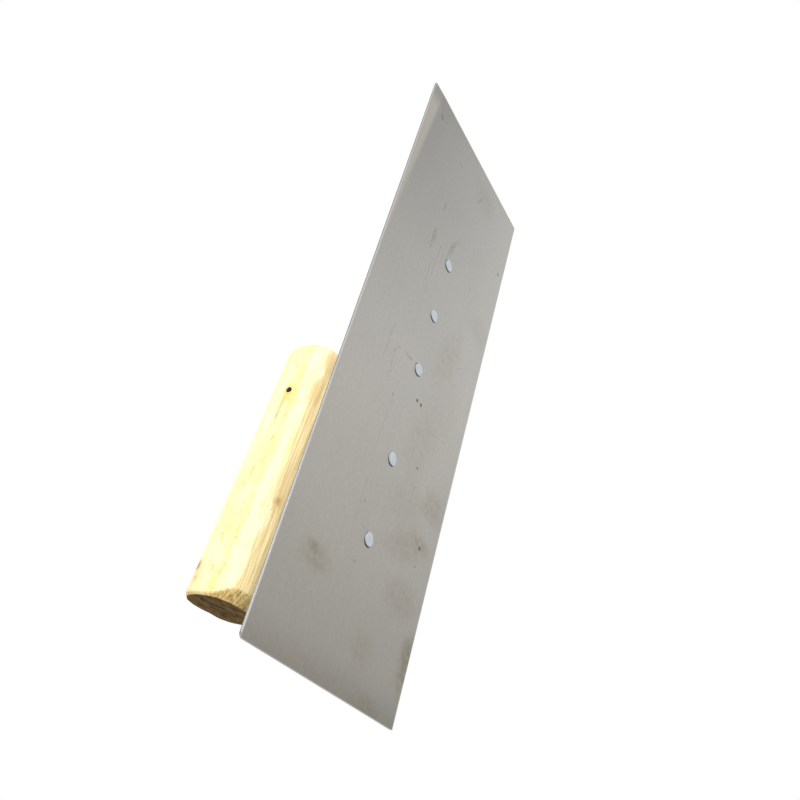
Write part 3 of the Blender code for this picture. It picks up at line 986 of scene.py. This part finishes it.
wood.count("wood with its underside")


# %% Tables of the wood's spots and patches
def on_wood(point, along_half, across_half, strength):
    """A ragged patch on the handle, long in the direction of the grain."""
    halves = (along_half, across_half, across_half)
    return wood.patch(point, halves, (0, -slope_angle, 0), 0.55, flecks, 2.2, strength)


DARK_SPOTS = (
    (-67.4, -7.6, 45.8, 1.8, 1.1, 0.5), (-66.4, -17.4, 56.6, 0.9, 0.5, 0.4),
    (-90.6, -15.4, 52.1, 1.2, 0.5, 0.4), (-69.9, -13.8, 49.4, 0.9, 0.5, 0.4),
    (-38.1, -17.4, 57.0, 1.2, 0.4, 0.35), (-55.0, -17.4, 57.0, 0.8, 0.5, 0.35),
    (-55.7, -12.8, 47.9, 1.0, 0.6, 0.4), (9.9, -15.5, 48.3, 1.0, 0.6, 0.4),
    (-29.0, -17.3, 56.3, 4.5, 0.5, 0.75), (-21.5, -17.3, 55.9, 4.0, 0.8, 0.45),
    (-101.3, -16.3, 68.3, 2.4, 1.3, 0.95), (-107.0, -16.9, 67.2, 1.5, 0.9, 0.6),
)
TAN_PATCHES = (
    (-106.5, -16.6, 67.5, 8.5, 3.2, 0.85), (-13.0, -11.0, 45.0, 7.0, 3.0, 0.55),
    (-24.0, -17.0, 56.2, 7.0, 1.6, 0.45), (-67.0, -7.6, 45.8, 3.2, 2.2, 0.65),
    (-58.0, -7.0, 45.6, 12.0, 3.0, 0.35), (-40.0, -12.0, 46.8, 9.0, 1.5, 0.40),
    (6.0, -9.0, 44.5, 6.0, 4.0, 0.35),
)
print("handle:", len(DARK_SPOTS), "dark spots and", len(TAN_PATCHES), "tan patches")

# %% Wood: spots, patches and rust halo
PATCH_TAN = (0.70, 0.49, 0.23)
SPOT_BROWN = (0.27, 0.18, 0.07)
RUST_HALO = (0.86, 0.46, 0.15)
patched = streaked
for *point, along_half, across_half, strength in TAN_PATCHES:
    share = on_wood(point, along_half, across_half, strength)
    patched = wood.blend(share, patched, PATCH_TAN)
spotted = patched
for *point, along_half, across_half, strength in DARK_SPOTS:
    share = on_wood(point, along_half, across_half, strength)
    spotted = wood.blend(share, spotted, SPOT_BROWN)
halo_place = wood.mapped(wood.mapped(wood.place, move=-pin_centre), turn=axis_turn, scale=(0.42, 1, 1))
pin_away = wood.distance(halo_place, (-0.5 * MM, pin_low.y, 0))
halo_away = wood.sums("MULTIPLY_ADD", wander, 1.6 * MM, pin_away)
halo = wood.span(halo_away, 4.2 * MM, 1.8 * MM, 0.0, 0.85)
haloed = wood.blend(halo, spotted, RUST_HALO)
wood.count("spotted wood")

# %% Wood: rasped chamfer
from_heel = wood.sums("SUBTRACT", stick_x, -handle_length / 2)
surface = wood.add("ShaderNodeNewGeometry").outputs["Normal"]
facing_heel = wood.sums("MULTIPLY", wood.axes(surface)[0], -1.0)
near_heel = wood.span(from_heel, 9 * MM, 7 * MM)
lower_half = wood.span(stick_z, -3 * MM, -8 * MM, 0.4, 1.0)
rasp_reach = wood.sums("MULTIPLY", near_heel, lower_half)
rasped = wood.sums("MULTIPLY", wood.span(facing_heel, 0.10, 0.22), rasp_reach)
torn = wood.cloud(wood.mapped(stick, scale=(160, 900, 900)), 1.0, detail=5.0, roughness=0.7)
golden = wood.ramp(
    torn, (0.36, (0.32, 0.195, 0.065)), (0.50, (0.60, 0.435, 0.17)), (0.64, (0.81, 0.64, 0.31))
)
chamfered = wood.blend(rasped, haloed, golden)
wood.count("rasped wood")

# %% Wood: sawn end
sawn = wood.span(facing_heel, 0.80, 0.92)
end_place = wood.mapped(stick, turn=(0.35, 0, 0), scale=(1, 170, 420))
end_cloud = wood.cloud(end_place, 1.0, detail=6.0, roughness=0.7)
end_rings = wood.add("ShaderNodeTexWave", wave_type="RINGS", rings_direction="X", wave_profile="SIN")
ring_place = wood.mapped(stick, move=(0, 0.001, 0.02))
wood.fill(end_rings, Vector=ring_place, Scale=160.0, Distortion=2.5)
end_base = wood.ramp(
    end_cloud, (0.32, (0.14, 0.060, 0.012)), (0.5, (0.31, 0.175, 0.040)), (0.70, (0.49, 0.33, 0.10))
)
RED_BROWN = (0.13, 0.045, 0.014)
red_place = wood.mapped(stick, turn=(0.35, 0, 0), move=(0, 3, 1), scale=(1, 120, 260))
red_cloud = wood.cloud(red_place, 1.0, detail=5.0)
end_reddish = wood.blend(wood.ramp(red_cloud, (0.52, 0.0), (0.66, 0.7)), end_base, RED_BROWN)
ring_tint = wood.ramp(end_rings.outputs["Fac"], (0.2, 0.75), (0.8, 1.15))
end_ringed = wood.blend(0.25, end_reddish, ring_tint, "MULTIPLY")
wood.count("sawn wood")

# %% Wood: end cracks and shader
CRACK_DARK = (0.040, 0.008, 0.003)
CRACK_DEPTH = 20
END_CRACKS = (
    (-0.9, 60.4, 3.6, 0.75, -22, 1.0), (-5.6, 62.6, 3.0, 0.7, -16, 0.95),
    (-10.0, 64.2, 2.2, 0.6, -15, 0.7), (5.2, 67.0, 2.4, 0.9, 20, 0.6),
    (-2.0, 66.5, 2.2, 0.5, -10, 0.45), (6.5, 58.5, 3.0, 0.5, -25, 0.5),
)
end_cracked = end_ringed
for y, z, half_length, half_width, turn, strength in END_CRACKS:
    centre = (handle_low.x / MM, y, z)
    turned_by = (math.radians(turn), 0, 0)
    halves = (CRACK_DEPTH, half_length, half_width)
    crack = wood.patch(centre, halves, turned_by, 0.5, end_cloud, 1.0, strength)
    end_cracked = wood.blend(crack, end_cracked, CRACK_DARK)
ended = wood.blend(sawn, chamfered, end_cracked)
grain_bump = wood.bump(fine_grain, 0.35, 0.12 * MM)
pore_bump = wood.bump(wood.sums("SUBTRACT", 1.0, pores), 0.25, 0.06 * MM, grain_bump)
torn_height = wood.sums("MULTIPLY", torn, wood.sums("MAXIMUM", rasped, sawn))
torn_bump = wood.bump(torn_height, 0.8, 0.6 * MM, pore_bump)
wood.set(
    Base_Color=ended,
    Roughness=wood.ramp(fine_grain, (0.3, 0.66), (0.7, 0.52)),
    Specular_IOR_Level=wood.ramp(wood.sums("MAXIMUM", rasped, sawn), (0.0, 0.35), (1.0, 0.08)),
    Normal=torn_bump,
)
wood.put_on(handle)
wood.count("handle wood")

# %% [markdown]
# ## Floor, lights and background
#
# The trowel rests on a pale floor. The camera is under the floor's level, so the floor shows only
# its upper side: from below it is clear, and it keeps no light from the working face. A large soft
# light stands off the left edge, below the floor's level, and a weaker one hangs above. The left
# one is hidden from mirror rays, because flat steel would show it as a white glare from some sides.
# A white room fills the shadows. Its heel side is darker, so that the steel has something to mirror.

# %% Floor
FLOOR_SIDE = 6.0
FLOOR_Z = -0.45 * MM
floor_maker = bmesh.new()
bmesh.ops.create_grid(floor_maker, x_segments=1, y_segments=1, size=FLOOR_SIDE / 2)
bmesh.ops.translate(floor_maker, vec=(0, 0, FLOOR_Z), verts=floor_maker.verts)
floor = to_object(floor_maker, "floor")
if floor.data.polygons[0].normal.z < 0:
    floor.data.flip_normals()
pale = Finish("Pale floor")
pale.set(Base_Color=pale.ramp(pale.cloud(pale.place, 3.0), (0.3, 0.80), (0.7, 0.84)), Roughness=0.6)
under_side = pale.add("ShaderNodeNewGeometry").outputs["Backfacing"]
clear = pale.add("ShaderNodeBsdfTransparent").outputs["BSDF"]
choice = pale.add("ShaderNodeMixShader")
pale.feed(choice.inputs[0], under_side)
pale.feed(choice.inputs[1], pale.shader.outputs["BSDF"])
pale.feed(choice.inputs[2], clear)
pale.feed(pale.tree.nodes["Material Output"].inputs["Surface"], choice.outputs[0])
pale.put_on(floor)
floor.visible_shadow = False
floor.visible_diffuse = False
floor.visible_glossy = False
print("floor at", round(FLOOR_Z / MM, 2), "mm")

# %% Lights
LIGHT_AIM = Vector((-0.03, 0, 0.04))


def soft_light(name, direction, distance, size, power):
    """A square light that looks at the middle of the trowel."""
    data = bpy.data.lights.new(name, "AREA")
    data.shape = "SQUARE"
    data.size = size
    data.energy = power
    lamp = bpy.data.objects.new(name, data)
    bpy.context.scene.collection.objects.link(lamp)
    away = Vector(direction).normalized()
    lamp.location = LIGHT_AIM + away * distance
    lamp.rotation_mode = "QUATERNION"
    lamp.rotation_quaternion = away.to_track_quat("Z", "Y")
    print(f"{name}: {power:.0f} W, {distance:.1f} m away")
    return lamp


left_softbox = soft_light("Left softbox", (0.20, -0.88, -0.42), 1.1, 0.88, 17.0)
left_softbox.visible_glossy = False
soft_light("Top softbox", (0.3, -0.2, 1.0), 1.3, 0.9, 8.0)

# %% White room
ROOM_LIGHT = 0.80
ROOM_SHADE = 0.24
world = bpy.data.worlds.new("White room")
bpy.context.scene.world = world
world.use_nodes = True
room_tree = world.node_tree
room = room_tree.nodes["Background"]
room.inputs["Color"].default_value = (1.0, 1.0, 1.0, 1.0)
towards = room_tree.nodes.new("ShaderNodeSeparateXYZ")
room_tree.links.new(room_tree.nodes.new("ShaderNodeTexCoord").outputs["Generated"], towards.inputs[0])
dimmer_heel = room_tree.nodes.new("ShaderNodeMapRange")
tones = {"From Min": -0.9, "From Max": 0.3, "To Min": ROOM_SHADE, "To Max": ROOM_LIGHT}
for name, value in tones.items():
    dimmer_heel.inputs[name].default_value = value
room_tree.links.new(towards.outputs["X"], dimmer_heel.inputs["Value"])
backdrop = room_tree.nodes.new("ShaderNodeMapRange")
light_path = room_tree.nodes.new("ShaderNodeLightPath")
room_tree.links.new(light_path.outputs["Is Camera Ray"], backdrop.inputs["Value"])
room_tree.links.new(dimmer_heel.outputs["Result"], backdrop.inputs["To Min"])
backdrop.inputs["To Max"].default_value = 1.0
room_tree.links.new(backdrop.outputs["Result"], room.inputs["Strength"])
bpy.context.scene.view_settings.view_transform = "Standard"
print("room light:", ROOM_SHADE, "behind the heel,", ROOM_LIGHT, "elsewhere")
